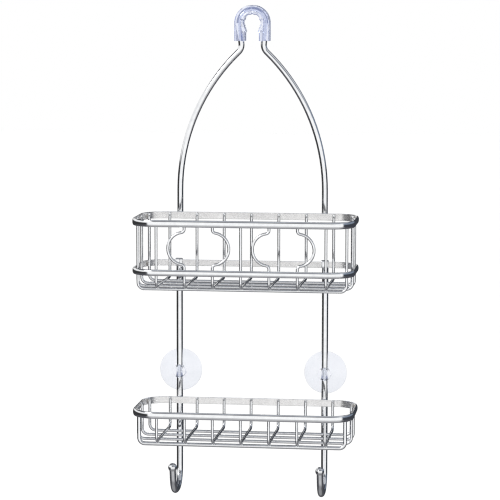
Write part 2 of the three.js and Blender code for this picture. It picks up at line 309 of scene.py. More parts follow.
# %% Finishes
def bright_steel(name, dark, light, roughness, line_height, lines=(2600.0, 26.0, 1.0)):
    """Polished steel: drawn lines along the UV map's length, and cloudier patches a few millimetres
    across."""
    material, tree, shader = new_material(name)
    source = tree.nodes.new("ShaderNodeTexCoord")
    drawn = noise(tree, source.outputs["UV"], 1.0, 2.0, lines)
    cloud = noise(tree, source.outputs["Object"], 180.0)
    tree.links.new(tint(tree, cloud, dark, light), shader.inputs["Base Color"])
    tree.links.new(spread(tree, drawn, *roughness), shader.inputs["Roughness"])
    bump(tree, shader, drawn, line_height)
    shader.inputs["Metallic"].default_value = 1.0
    return material


def clear_vinyl(name, dark, light, roughness, ior):
    """Soft clear plastic: tinted glass with a slow mottle in its tint, roughness and surface."""
    material, tree, shader = new_material(name)
    source = tree.nodes.new("ShaderNodeTexCoord")
    mottle = noise(tree, source.outputs["Object"], 90.0, 1.0)
    tree.links.new(tint(tree, mottle, dark, light), shader.inputs["Base Color"])
    tree.links.new(spread(tree, mottle, *roughness), shader.inputs["Roughness"])
    bump(tree, shader, mottle, 0.00001)
    shader.inputs["Transmission Weight"].default_value = 1.0
    shader.inputs["IOR"].default_value = ior
    return material


wire_finish = bright_steel(
    "bright drawn wire", (0.80, 0.81, 0.83), (0.90, 0.91, 0.92), (0.05, 0.10), 2e-7
)
rim_finish = bright_steel(
    "polished rim", (0.82, 0.83, 0.85), (0.90, 0.91, 0.92), (0.06, 0.11), 2e-7
)
satin_finish = bright_steel(
    "satin rim face", (0.86, 0.85, 0.845), (0.93, 0.925, 0.92), (0.22, 0.32), 8e-7
)
ball_finish = bright_steel(
    "polished ball", (0.78, 0.79, 0.80), (0.86, 0.87, 0.88), (0.04, 0.08), 2e-7
)
saddle_finish = clear_vinyl(
    "clear saddle vinyl", (0.80, 0.83, 0.95), (0.83, 0.86, 0.965), (0.06, 0.10), 1.42
)
cup_finish = clear_vinyl(
    "clear cup vinyl", (0.83, 0.85, 0.90), (0.86, 0.875, 0.92), (0.08, 0.16), 1.40
)
print("finishes:", ", ".join(m.name for m in bpy.data.materials if m.use_nodes and m.users == 0))


# %% Placing a piece
def place(piece, body, slot, *finishes, stands_for=()):
    """A finished piece on its body, with its finish and the plain solids that it stands for. The slot is
    not used.
    """
    for finish in finishes:
        piece.data.materials.append(finish)
    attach(piece, body)
    if stands_for:
        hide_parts(*stands_for)
    return piece


# %% [markdown]
# ## Sizes
# Heights and the baskets' plan are read from the frame's boxes. Only the stock sizes and bend radii,
# which a box doesn't hold, are named here.

# %% Sizes from the frame
GAP = 0.0003
BOW_ROD = 0.0072
UPRIGHT_ROD = 0.0077
WIRE = 0.0034
FRONT_WIRE = 0.0046
RIM_THICKNESS = 0.0020
CORNER = 0.030


def low_and_high(node):
    """A node's lowest and highest corner, as arrays."""
    low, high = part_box(node)
    return np.array(low), np.array(high)


upper_rim_low, upper_rim_high = low_and_high("upper_top_rim")
middle_rim_low, middle_rim_high = low_and_high("upper_lower_rim")
lower_rim_low, lower_rim_high = low_and_high("lower_top_rim")
FRONT, BACK = upper_rim_low[1], upper_rim_high[1]
HALF_WIDTH = upper_rim_high[0]
MIDDLE_DEPTH = (FRONT + BACK) / 2
WIRE_SET = RIM_THICKNESS + GAP + WIRE / 2
WIRE_TOP_DROP = 0.001
print("baskets:", np.round(1000 * np.array([2 * HALF_WIDTH, BACK - FRONT]), 1), "mm")

# %% [markdown]
# ## Rims
# A rim is rolled strip, flat inside and crowned outside, bent to the basket's plan. Its section is
# carried round a rectangle with round corners. A flat face needs sharp edges, and a crown none, so the
# two shares of the section get their own finish and the flat face's edges are marked sharp.


# %% Rims
def plan_path(inset, corner_steps=16):
    """Points round a rectangle with round corners, inset from the rim's outer face, and the outward
    direction at each: on a corner, centre + r (cos a, sin a)."""
    r = CORNER - inset
    quarter = np.linspace(0, math.pi / 2, corner_steps + 1)
    points, outward = [], []
    for n, (sx, sy) in enumerate([(1, 1), (-1, 1), (-1, -1), (1, -1)]):
        a = quarter + n * math.pi / 2
        centre = np.array([sx * (HALF_WIDTH - CORNER), BACK - CORNER if sy > 0 else FRONT + CORNER])
        way = np.stack([np.cos(a), np.sin(a)], 1)
        points.append(centre + r * way)
        outward.append(way)
    return np.concatenate(points), np.concatenate(outward)


def rim_section(height, crown_steps=22):
    """Distance outwards from the rim's inner face, and height from its middle: a flat face with a small
    lip, then a crown, out = lip + (t - lip) sqrt(1 - (2z/h)^2), half an ellipse."""
    lip = 0.00035
    a = np.linspace(-math.pi / 2, math.pi / 2, crown_steps + 1)
    z = np.sin(a) * height / 2
    out = lip + (RIM_THICKNESS - lip) * np.sqrt(np.clip(1 - (2 * z / height) ** 2, 0, 1))
    flat = np.linspace(0.5, -0.5, 4) * (height - 2 * lip)
    return np.r_[out, np.zeros(4)], np.r_[z, flat]


def make_rim(node, body):
    """The rim's section carried round its plan: point = inner face + out * outward, at the section's
    height."""
    low, high = low_and_high(node)
    height = high[2] - low[2]
    points, outward = plan_path(RIM_THICKNESS)
    out, z = rim_section(height)
    grid = np.zeros((len(points), len(out), 3))
    grid[..., :2] = points[:, None] + outward[:, None] * out[None, :, None]
    grid[..., 2] = (low[2] + high[2]) / 2 + z
    around = lengths_along(np.stack([np.r_[out, out[0]], np.r_[z, z[0]]], 1))
    along = lengths_along(np.concatenate([points, points[:1]]))
    rim = skin(f"{node}_band", grid, around, along, loop_rows=True)
    columns = len(out)
    face_column = np.arange(len(rim.data.polygons)) % columns
    inner = (face_column >= columns - 4) & (face_column < columns - 1)
    rim.data.polygons.foreach_set("material_index", inner.astype(np.int32))
    rim.data.set_sharp_from_angle(angle=math.radians(40))
    place(rim, body, "rim_steel", rim_finish, satin_finish, stands_for=[node])
    print(f"{rim.name}: {len(rim.data.polygons)} faces, {1000 * height:.1f} mm tall")
    return rim


make_rim("upper_top_rim", "upper_section")
make_rim("upper_lower_rim", "upper_section")
make_rim("lower_top_rim", "lower_section")

# %% [markdown]
# ## Basket wires
# Cross wires run down the front, under the basket and up the back. Long wires run down one side, under
# the cross wires and up the other side. In the upper basket's front two pairs of cross wires bulge away
# from each other in round arches. Each wire is one bent centre line with a round section.

# %% Basket wires
CROSS_BEND = 0.006
LONG_BEND = 0.009
ARCH_REACH = 0.0193
ARCH_RADIUS = 0.0188
ARCH_FILLET = 0.004
ARCH_SIDES = {2: -1, 3: 1, 5: -1, 6: 1}
CROSS_COUNT = 7
LONG_COUNT = 4
FRONT_LINE = FRONT + WIRE_SET
BACK_LINE = BACK - WIRE_SET


def middle_of(node):
    """The middle of a node's box."""
    low, high = low_and_high(node)
    return (low + high) / 2


def arch_corners(x, middle, side):
    """Four corners of an arch that leaves the wire's line, goes round and comes back. Fillet and arch
    meet where cos(turn) = (fillet - offset) / (radius + fillet), with the arch's centre an offset beyond
    the line."""
    offset = ARCH_REACH - ARCH_RADIUS
    turn = math.acos((ARCH_FILLET - offset) / (ARCH_RADIUS + ARCH_FILLET))
    half = math.tan(turn / 2)
    mouth = (ARCH_RADIUS + ARCH_FILLET) * math.sin(turn) - ARCH_FILLET * half
    shoulder = ARCH_RADIUS * half
    out = x + side * ARCH_REACH
    return [(x, FRONT_LINE, middle + mouth), (out, FRONT_LINE, middle + shoulder),
            (out, FRONT_LINE, middle - shoulder), (x, FRONT_LINE, middle - mouth)]


def make_cross_wire(node, x, body, top, floor, arch_side):
    """A wire in a deep U seen from the side, with or without an arch in its front leg."""
    arch = []
    if arch_side:
        arch = arch_corners(x, (upper_rim_low[2] + middle_rim_high[2]) / 2, arch_side)
    front = [(x, FRONT_LINE, top), *arch, (x, FRONT_LINE, floor)]
    back = [(x, BACK_LINE, floor), (x, BACK_LINE, top)]
    bends = [ARCH_FILLET, ARCH_RADIUS, ARCH_RADIUS, ARCH_FILLET] if arch else []
    path = bent_path([*front, *back], [*bends, CROSS_BEND, CROSS_BEND], math.radians(7))
    wire = round_bar(f"{node}_round", *path, WIRE, sides=18)
    return place(wire, body, "wire_steel", wire_finish, stands_for=[node])


def side_line(y, diameter):
    """Half-width at which a wire stands inside the rim: the straight side, or on a corner the circle x =
    c + sqrt(r^2 - beyond^2)."""
    inside = CORNER - RIM_THICKNESS - GAP - diameter / 2
    beyond = max(abs(y - MIDDLE_DEPTH) - (BACK - FRONT) / 2 + CORNER, 0)
    return HALF_WIDTH - CORNER + math.sqrt(inside**2 - beyond**2)


def make_long_wire(node, y, body, top, cross_floor, diameter):
    """A wire in a shallow U seen from the front."""
    x = side_line(y, diameter)
    floor = cross_floor - (WIRE + diameter) / 2 - GAP
    bend = LONG_BEND - diameter / 2
    corners = [(-x, y, top), (-x, y, floor), (x, y, floor), (x, y, top)]
    path = bent_path(corners, [bend, bend], math.radians(6))
    wire = round_bar(f"{node}_round", *path, diameter, sides=18, first=(0.0, 1.0, 0.0))
    return place(wire, body, "wire_steel", wire_finish, stands_for=[node])


def make_basket(prefix, body, rim_high, arch_sides, front_diameter):
    """All of a basket's wires. Their pitch and floor are measured on the frame's first and last wires."""
    first = middle_of(f"{prefix}_cross_wire_1")
    last = middle_of(f"{prefix}_cross_wire_{CROSS_COUNT}")
    floor = low_and_high(f"{prefix}_cross_wire_1")[0][2] + WIRE / 2
    top = rim_high[2] - WIRE_TOP_DROP
    xs = np.linspace(first[0], last[0], CROSS_COUNT)
    for n, x in enumerate(xs, 1):
        make_cross_wire(f"{prefix}_cross_wire_{n}", x, body, top, floor, arch_sides.get(n))
    nearest = middle_of(f"{prefix}_long_wire_1")[1]
    furthest = middle_of(f"{prefix}_long_wire_{LONG_COUNT}")[1]
    ys = np.linspace(nearest, furthest, LONG_COUNT)
    for n, y in enumerate(ys, 1):
        diameter = front_diameter if n == 1 else WIRE
        make_long_wire(f"{prefix}_long_wire_{n}", y, body, top, floor, diameter)
    print(f"{prefix} basket: cross wires every {1000 * (xs[1] - xs[0]):.1f} mm, "
          f"long wires every {1000 * (ys[1] - ys[0]):.1f} mm, floor at {1000 * floor:.1f} mm")
    return xs, ys, floor


upper_wires = make_basket("upper", "upper_section", upper_rim_high, ARCH_SIDES, WIRE)
lower_wires = make_basket("lower", "lower_section", lower_rim_high, {}, FRONT_WIRE)

# %% [markdown]
# ## Hanger bow
# One rod makes the whole bow: up from behind the rim, leaning in along a wide bend, round a tight corner
# into the neck and over the top in a half loop. It is mirror symmetric, so only its right half is written
# down.

# %% Hanger bow
ARM_RADIUS = 0.0107
LOOP_RADIUS = 0.0158
BOW_HALF_WIDTH = 0.0874
BOW_BEND = 0.229
BOW_LEAN = math.radians(45.7)
BOW_SPRING = 0.0267
NECK_HALF_WIDTH = 0.0129
NECK_BEND = 0.012
NECK_TURN = 0.1956


def bow_path():
    """The bow's centre line from its left foot over the loop to its right foot. The neck is tangent to
    the loop: its taper from vertical is asin(loop radius / distance to the loop's centre) - the centre's
    own angle."""
    rim_top = upper_rim_high[2]
    shoulder = rim_top + BOW_SPRING + BOW_BEND * math.tan(BOW_LEAN / 2)
    below_centre = -ARM_RADIUS - rim_top - NECK_TURN
    taper = math.asin(LOOP_RADIUS / math.hypot(NECK_HALF_WIDTH, below_centre))
    taper -= math.atan2(NECK_HALF_WIDTH, below_centre)
    loop_corner = LOOP_RADIUS * math.tan(math.pi / 4 + taper / 2)
    half = np.array([
        (BOW_HALF_WIDTH, 0, upper_rim_low[2] + WIRE_TOP_DROP),
        (BOW_HALF_WIDTH, 0, shoulder),
        (NECK_HALF_WIDTH, 0, rim_top + NECK_TURN),
        (loop_corner, 0, -ARM_RADIUS + LOOP_RADIUS),
    ])
    bends = [BOW_BEND, NECK_BEND, LOOP_RADIUS]
    return bent_path([*(half * (-1, 1, 1)), *half[::-1]], [*bends, *bends[::-1]], math.radians(2.5))


bow_points, bow_directions = bow_path()
bow = round_bar("hanger_bow_rod", bow_points, bow_directions, BOW_ROD, sides=32, first=(0.0, 1.0, 0.0))
place(bow, "upper_section", "wire_steel", wire_finish, stands_for=["hanger_bow"])
print("bow:", round(1000 * lengths_along(bow_points)[-1]), "mm of rod")

# %% [markdown]
# ## Uprights and hooks
# Each upright is one rod. Its top is flattened into a strap that hooks over the upper basket's lower rim,
# and its bottom is bent forward and up into a hook that ends in a ball. Flattening is a section that
# changes along the rod: a circle that widens across and thins in depth until it is a strap with round
# edges.

# %% Uprights
STRAP_HALF_WIDTH = 0.0043
STRAP_HALF_THICKNESS = 0.0007
STRAP_BEND = 0.0011
TIP_LENGTH = 0.0022
HOOK_BEND = 0.024
HOOK_DEPTH = 0.050
HOOK_LEAN = 0.0075
HOOK_ARM_TOP = -0.541
STRAP_LINE = BACK + GAP + STRAP_HALF_THICKNESS  # the strap's depth behind the rim


def ease(t):
    """Smooth from 0 to 1: 3t^2 - 2t^3."""
    t = np.clip(t, 0, 1)
    return t * t * (3 - 2 * t)


def upright_path(x, bottom):
    """From the hook's tip down, round the hook, straight up, over the rim and down inside it."""
    over = middle_rim_high[2] + GAP + STRAP_HALF_THICKNESS
    across_rim = -(RIM_THICKNESS + 2 * GAP + 2 * STRAP_HALF_THICKNESS)
    corners = [
        (x, -HOOK_DEPTH - HOOK_LEAN, HOOK_ARM_TOP),
        (x, -HOOK_DEPTH, bottom),
        (x, 0, bottom),
        (x, 0, over),
        (x, across_rim, over),
        (x, across_rim, middle_rim_low[2] - 0.0003),
    ]
    bends = [HOOK_BEND, HOOK_BEND, STRAP_BEND, STRAP_BEND]
    return bent_path(corners, bends, math.radians(5), step=0.0008)


def make_upright(side):
    """Section at each station: (a |cos t|^p, b |sin t|^p). Behind the rim a share f eases from 0 to 1,
    and a and b go with it from the rod's radius to the strap's, p from 1, a circle, to 0.6, a strap, and
    the centre line forward to the strap's, so that the rod's front stays flush. The strap's tip narrows
    to a round end."""
    node = f"upright_{side}"
    x = middle_of(node)[0]
    points, directions = upright_path(x, low_and_high(node)[0][2] + UPRIGHT_ROD / 2)
    along = lengths_along(points)
    top = along[np.argmax(points[:, 2])]
    strap_height = middle_rim_high[2] - middle_rim_low[2]
    f = ease((along - top + strap_height) / strap_height)
    points[:, 1] += STRAP_LINE * f
    directions[:, 1] += STRAP_LINE * np.gradient(f, along)
    directions /= np.linalg.norm(directions, axis=1, keepdims=True)
    from_tip = np.clip((along[-1] - along) / TIP_LENGTH, 0, 1)
    tip = np.sqrt(np.clip(1 - (1 - from_tip) ** 2, 0.02, 1))
    radius = UPRIGHT_ROD / 2
    a = (radius + (STRAP_HALF_WIDTH - radius) * f) * tip
    b = (radius + (STRAP_HALF_THICKNESS - radius) * f) * np.sqrt(tip)
    power = (1 - 0.4 * f)[:, None]
    t = np.linspace(0, 2 * math.pi, 36, endpoint=False)
    wide = a[:, None] * np.sign(np.cos(t)) * np.abs(np.cos(t)) ** power
    thick = b[:, None] * np.sign(np.sin(t)) * np.abs(np.sin(t)) ** power
    across = np.tile([1.0, 0.0, 0.0], (len(points), 1))
    lift = np.cross(directions, across)
    grid = points[:, None] + wide[..., None] * across[:, None] + thick[..., None] * lift[:, None]
    around = np.linspace(0, math.pi * UPRIGHT_ROD, 37)
    rod = skin(f"{node}_rod", grid, around, along)
    place(rod, "lower_section", "wire_steel", wire_finish, stands_for=[node])
    print(f"{rod.name}: {1000 * along[-1]:.0f} mm of rod, strap {2000 * STRAP_HALF_WIDTH:.1f} mm wide")
    return rod


for side in ("left", "right"):
    make_upright(side)

# %% [markdown]
# ## Hook balls
# A ball is turned and has a socket where the hook's arm goes in, so it is a profile spun round the arm's
# axis.


# %% Spun pieces
def spin(name, radii, heights, origin, axis, first, segments=48):
    """A profile spun round an axis: point = origin + h axis + r (cos a first + sin a second). The profile
    starts and ends near the axis, and its ends are closed."""
    axis = np.asarray(axis, float) / np.linalg.norm(axis)
    first = np.asarray(first, float) - axis * (np.asarray(first, float) @ axis)
    first /= np.linalg.norm(first)
    second = np.cross(axis, first)
    a = np.linspace(0, 2 * math.pi, segments, endpoint=False)
    ring = np.cos(a)[:, None] * first + np.sin(a)[:, None] * second
    grid = np.asarray(origin) + heights[:, None, None] * axis + radii[:, None, None] * ring[None]
    around = np.linspace(0, 2 * math.pi * radii.max(), segments + 1)
    return skin(name, grid, around, lengths_along(np.stack([radii, heights], 1)))


# %% Hook balls
def make_hook_ball(side):
    """A sphere from its pole down to the arm, r = R sin(a) and h = R cos(a), and a socket round the arm's
    end."""
    node = f"hook_ball_{side}"
    low, high = low_and_high(node)
    radius = (high[0] - low[0]) / 2
    hook_bottom = low_and_high(f"upright_{side}")[0][2] + UPRIGHT_ROD / 2
    arm = np.array([0, -HOOK_LEAN, HOOK_ARM_TOP - hook_bottom])
    centre = (low + high) / 2
    centre[2] = high[2] - radius
    socket = UPRIGHT_ROD / 2 + GAP / 2
    a = np.linspace(0.02, math.pi - math.asin(socket / radius), 30)
    radii = np.r_[radius * np.sin(a), socket, 0.0001]
    heights = np.r_[radius * np.cos(a), -0.0007, -0.0007]
    ball = spin(f"{node}_turned", radii, heights, centre, arm, (1.0, 0.0, 0.0))
    ball.data.set_sharp_from_angle(angle=math.radians(50))
    place(ball, "lower_section", "hook_ball", ball_finish, stands_for=[node])
    print(f"{ball.name}: {2000 * radius:.1f} mm across")
    return ball


for side in ("left", "right"):
    make_hook_ball(side)

# %% [markdown]
# ## Welds
# Each place where a wire meets a rim or another wire is spot welded, which leaves a small smooth nugget
# in the corner between them. A nugget is a flattened ball of a few dozen faces, and all of a section's
# nuggets are one piece, worked out as one array.


# %% Welds
def nugget_skin(rows=7, columns=12):
    """Points and faces of a ball of radius 1, with its poles as single points."""
    a = np.linspace(0, math.pi, rows + 2)[1:-1, None]
    b = np.linspace(0, 2 * math.pi, columns, endpoint=False)[None]
    ring = np.stack([np.sin(a) * np.cos(b), np.sin(a) * np.sin(b), np.cos(a) + 0 * b], -1).reshape(-1, 3)
    points = np.concatenate([ring, [(0, 0, 1), (0, 0, -1)]])
    quads, _ = grid_faces(rows, columns)
    k = np.arange(columns)
    after = (k + 1) % columns
    last = (rows - 1) * columns
    top = np.stack([after, k, np.full(columns, len(ring))], 1)
    bottom = np.stack([last + k, last + after, np.full(columns, len(ring) + 1)], 1)
    return points, quads, np.concatenate([top, bottom])


def make_welds(name, body, centres, radii):
    """Copies of the ball, each moved to its centre and stretched by its radii."""
    ball, quads, triangles = nugget_skin()
    centres, radii = np.array(centres), np.array(radii)
    vertices = (centres[:, None] + ball[None] * radii[:, None]).reshape(-1, 3)
    shift = (np.arange(len(centres)) * len(ball))[:, None, None]
    welds = make_piece(name, vertices, (quads + shift).reshape(-1, 4), (triangles + shift).reshape(-1, 3))
    place(welds, body, "wire_steel", weld_finish)
    print(f"{name}: {len(centres)} nuggets")
    return welds


def basket_welds(wires, rims, diameters):
    """Centres and radii of a basket's nuggets: cross wires to each rim, front and back, and to each long
    wire."""
    xs, ys, floor = wires
    centres, radii = [], []
    touch = RIM_THICKNESS + GAP / 2
    for low, high in rims:
        z = (low[2] + high[2]) / 2
        for x in xs:
            centres += [(x, FRONT + touch, z), (x, BACK - touch, z)]
            radii += [(0.0016, 0.0007, 0.0026)] * 2
        for y, diameter in zip(ys, diameters):
            side = side_line(y, diameter) + diameter / 2
            centres += [(-side, y, z), (side, y, z)]
            radii += [(0.0007, 0.0015, 0.0026)] * 2
    for x in xs:
        for y in ys:
            centres.append((x, y, floor - WIRE / 2 - GAP / 2))
            radii.append((0.0015, 0.0015, 0.0007))
    return centres, radii


weld_finish = bright_steel("weld nugget", (0.60, 0.59, 0.57), (0.74, 0.73, 0.71), (0.16, 0.28), 6e-7)
upper_rims = [(upper_rim_low, upper_rim_high), (middle_rim_low, middle_rim_high)]
lower_rims = [(lower_rim_low, lower_rim_high)]
centres, radii = basket_welds(upper_wires, upper_rims, [WIRE] * LONG_COUNT)
foot = (upper_rim_low[2] + upper_rim_high[2]) / 2
centres += [(sign * BOW_HALF_WIDTH, BACK + GAP / 2, foot) for sign in (-1, 1)]
radii += [(0.0018, 0.0007, 0.0030)] * 2
make_welds("upper_welds", "upper_section", centres, radii)
centres, radii = basket_welds(lower_wires, lower_rims, [FRONT_WIRE] + [WIRE] * (LONG_COUNT - 1))
foot = (lower_rim_low[2] + lower_rim_high[2]) / 2
centres += [(middle_of(f"upright_{side}")[0], BACK + GAP / 2, foot) for side in ("left", "right")]
radii += [(0.0018, 0.0007, 0.0030)] * 2
make_welds("lower_welds", "lower_section", centres, radii)

# %% [markdown]
# ## Arm saddle
# The saddle is a soft moulding round the bow's loop: an arch with two legs, grip ribs across its inner
# face and a bore that the rod lies in. Its skin is worked out from two curves, the inner and the outer
# outline, joined at each station by a section with rounded edges. The bore is a second skin inside the
# first, and a ring of faces joins the two at each foot.

# %% Arm saddle
SADDLE_HALF_GAP = 0.0086
SADDLE_EDGE = 0.0012
RIB_REACH = 0.0012
RIB_SPREAD = 0.0014
RIB_ANGLES = (-15, 24, 76, 104, 156, 195)
LEG_RIB_DROP = 0.0204
CHANNEL_DEPTH = 0.0008
CHANNEL_SPREAD = 0.17
ROD_SHARE = 0.46  # where the rod lies between the inner and the outer outline
CORNER_SHARE = 0.1  # how much of that way each rounded edge takes


def arch_line(radius, half_gap, foot, steps):
    """An arch outline from the left foot to the right foot, with outward directions: a leg at half_gap
    that meets the circle of this radius, the circle, and the other leg. Stations pair up between outlines
    by their order."""
    meet = math.acos(min(half_gap / radius, 1))
    leg_top = -ARM_RADIUS - radius * math.sin(meet)
    leg = np.linspace(foot, leg_top, steps)[:-1]
    a = np.linspace(-meet, math.pi + meet, 6 * steps)[::-1]
    left = np.stack([np.full(steps - 1, -half_gap), leg], 1)
    circle = np.stack([radius * np.cos(a), radius * np.sin(a) - ARM_RADIUS], 1)
    return np.concatenate([left, circle, left[::-1] * (-1, 1)])


def rib_relief(points):
    """How far the inner face stands in at each station: a round bump on each rib's place."""
    a = np.radians(RIB_ANGLES)
    places = np.stack([ARM_RADIUS * np.cos(a), ARM_RADIUS * (np.sin(a) - 1)], 1)
    legs = np.array([(-SADDLE_HALF_GAP, -LEG_RIB_DROP), (SADDLE_HALF_GAP, -LEG_RIB_DROP)])
    places = np.concatenate([places, legs])
    away = np.linalg.norm(points[:, None] - places[None], axis=2).min(1)
    return RIB_REACH * np.exp(-((away / RIB_SPREAD) ** 2))


def saddle_section(half_depth, steps=10):
    """Share of the way from the inner to the outer outline, and depth: a rectangle with rounded corners,
    and on its front and back a shallow channel that follows the rod."""
    corner = np.linspace(0, math.pi / 2, steps)
    s, c = CORNER_SHARE * (1 - np.sin(corner)), SADDLE_EDGE * (1 - np.cos(corner))
    face = np.linspace(CORNER_SHARE, 1 - CORNER_SHARE, 15)[1:-1]
    channel = CHANNEL_DEPTH * np.exp(-(((face - ROD_SHARE) / CHANNEL_SPREAD) ** 4))
    flat = np.linspace(half_depth - SADDLE_EDGE, SADDLE_EDGE - half_depth, 6)[1:-1]
    share = np.r_[s, face, 1 - s[::-1], flat * 0 + 1, 1 - s, face[::-1], s[::-1], flat * 0]
    depth = np.r_[half_depth - c[::-1], half_depth - channel, half_depth - c, flat, c[::-1] - half_depth,
                  channel[::-1] - half_depth, c - half_depth, flat[::-1]]
    return share, depth


def make_saddle():
    """Outer skin: inner outline + share * (outer - inner), at the section's depth. Bore: a circle round
    the rod's centre line. Both have the same number of columns, so a ring of faces closes each foot."""
    low, high = low_and_high("arm_saddle")
    foot, half_depth, outer_radius = low[2], high[1], high[0]
    steps = 26
    inner = arch_line(ARM_RADIUS, SADDLE_HALF_GAP, foot, steps)
    outer = arch_line(outer_radius, outer_radius, foot, steps)
    way = outer - inner
    way /= np.linalg.norm(way, axis=1, keepdims=True)
    inner = inner - way * rib_relief(inner)[:, None]
    share, depth = saddle_section(half_depth)
    grid = np.zeros((len(inner), len(share), 3))
    flat = inner[:, None] + share[None, :, None] * (outer - inner)[:, None]
    grid[..., 0], grid[..., 2] = flat[..., 0], flat[..., 1]
    grid[..., 1] = depth
    columns = len(share)
    near = np.abs(bow_points[:, 0]) < outer_radius
    rod_points, rod_directions = bow_points[near], bow_directions[near]
    inside = rod_points[:, 2] > foot
    rod_points, rod_directions = rod_points[inside], rod_directions[inside]
    first = np.array([[*rod_points[0][:2], foot]])
    last = np.array([[*rod_points[-1][:2], foot]])
    rod_points = np.concatenate([first, rod_points, last])
    rod_directions = np.concatenate([rod_directions[:1], rod_directions, rod_directions[-1:]])
    angle = np.arctan2(share - ROD_SHARE, depth / half_depth * 0.5)
    side = np.cross(rod_directions, (0.0, 1.0, 0.0))
    outward = side * np.sign(np.einsum("ij,ij->i", side, rod_points + (0, 0, ARM_RADIUS)))[:, None]
    bore = BOW_ROD / 2 + GAP
    ring = np.sin(angle)[None, :, None] * outward[:, None]
    ring = ring + np.cos(angle)[None, :, None] * (0.0, 1.0, 0.0)
    bore_grid = rod_points[:, None] + bore * ring
    bore_grid[0, :, 2] = foot
    bore_grid[-1, :, 2] = foot
    outer_quads, _ = grid_faces(len(grid), columns)
    bore_quads, _ = grid_faces(len(bore_grid), columns)
    start = len(grid) * columns
    k = np.arange(columns)
    after = (k + 1) % columns
    far, bore_far = (len(grid) - 1) * columns, start + (len(bore_grid) - 1) * columns
    head = np.stack([start + k, start + after, after, k], 1)
    tail = np.stack([far + k, far + after, bore_far + after, bore_far + k], 1)
    vertices = np.concatenate([grid.reshape(-1, 3), bore_grid.reshape(-1, 3)])
    quads = np.concatenate([outer_quads, start + bore_quads[:, ::-1], head, tail])
    saddle = make_piece("arm_saddle_moulding", vertices, quads, np.zeros((0, 3), int))
    saddle.data.set_sharp_from_angle(angle=math.radians(50))
    place(saddle, "upper_section", "clear_saddle", saddle_finish, stands_for=["arm_saddle"])
    print(f"{saddle.name}: {len(quads)} faces")
    return saddle


make_saddle()

# %% [markdown]
# ## Suction cups
# A cup is a thin dish with a nub on its front, and the upright goes through the nub. The dish and nub are
# a profile spun round the wall's direction. The cross bore is cut by a Boolean, which is simpler than a
# surface that has to meet two cylinders at once.

# %% Suction cups
CUP_NUB = 0.0078
CUP_NUB_EDGE = 0.0012
CUP_NECK = 0.0050


def cup_profile(front, lip, radius):
    """Front face from the nub's middle out to the rim, then the hollow back face: the dish falls back as
    a parabola, y = neck + k r^2, and its wall thins towards a flat lip."""
    round_nub = np.linspace(math.pi / 2, 0, 6)
    nub_r = CUP_NUB - CUP_NUB_EDGE + CUP_NUB_EDGE * np.cos(round_nub)
    nub_y = front + CUP_NUB_EDGE - CUP_NUB_EDGE * np.sin(round_nub)
    fillet = np.linspace(0, math.pi / 2, 5)
    neck_r = CUP_NUB + 0.0015 * (1 - np.cos(fillet))
    neck_y = CUP_NECK - 0.0015 + 0.0015 * np.sin(fillet)
    dish_r = np.linspace(CUP_NUB + 0.0024, radius - 0.0002, 18)
    dish_y = CUP_NECK + (lip - 0.0012 - CUP_NECK) * (dish_r / radius) ** 2
    back_r = np.linspace(radius - 0.0018, 0.0001, 16)
    back_y = lip - 0.0030 * (1 - (back_r / (radius - 0.0018)) ** 2)
    radii = np.r_[0.0001, CUP_NUB * 0.5, nub_r, neck_r, dish_r, radius, radius - 0.0003, back_r]
    heights = np.r_[front, front, nub_y, neck_y, dish_y, lip - 0.0004, lip, back_y]
    return radii, heights


def cut_bore(piece, x, diameter, length):
    """The piece with a round hole along Z at x, cut by a temporary cylinder of many sides."""
    z = middle_of(f"suction_cup_{'left' if x < 0 else 'right'}")[2]
    ends = np.array([(x, 0, z - length / 2), (x, 0, z + length / 2)])
    cutter = round_bar("cutter", ends, np.array([(0, 0, 1.0)] * 2), diameter, sides=48)
    cut = piece.modifiers.new("bore", "BOOLEAN")
    cut.operation = "DIFFERENCE"
    cut.solver = "EXACT"
    cut.object = cutter
    finished = bpy.data.meshes.new_from_object(piece.evaluated_get(bpy.context.evaluated_depsgraph_get()))
    piece.modifiers.clear()
    piece.data = finished
    bpy.data.objects.remove(cutter)
    return piece


def make_suction_cup(side, body):
    """One cup, spun, bored and shaded smooth except at its corners."""
    node = f"suction_cup_{side}"
    low, high = low_and_high(node)
    x, _, z = (low + high) / 2
    radii, heights = cup_profile(low[1], high[1], (high[0] - low[0]) / 2)
    cup = spin(f"{node}_moulding", radii, heights, (x, 0, z), (0, 1, 0), (1.0, 0.0, 0.0), segments=96)
    cut_bore(cup, x, UPRIGHT_ROD + 2 * GAP, 4 * CUP_NUB)
    cup.data.set_sharp_from_angle(angle=math.radians(35))
    place(cup, body, "clear_cup", cup_finish, stands_for=[node])
    print(f"{cup.name}: {2000 * radii.max():.1f} mm across, {len(cup.data.polygons)} faces")
    return cup


make_suction_cup("left", "left_cup")
make_suction_cup("right", "right_cup")

# %% [markdown]
# ## Floor and studio
# Polished metal shows only what is around it. The studio is a sky worked out from the direction alone: a
# wide white front light, a white wash from the upper left, a blue-grey upper right, dark sides that draw
# the wires' edges, and a grey floor. What is seen through clear vinyl is white ahead and blue-grey to the
# sides, above and below. The light on the matt floor is white all round, so the backdrop stays plain.

# %% Studio helpers
FLOOR_DROP = 0.30
FLOOR_HALF_SIZE = 12.0
FRONT_AXIS = math.radians(14)  # the front light's middle, to the right of straight ahead


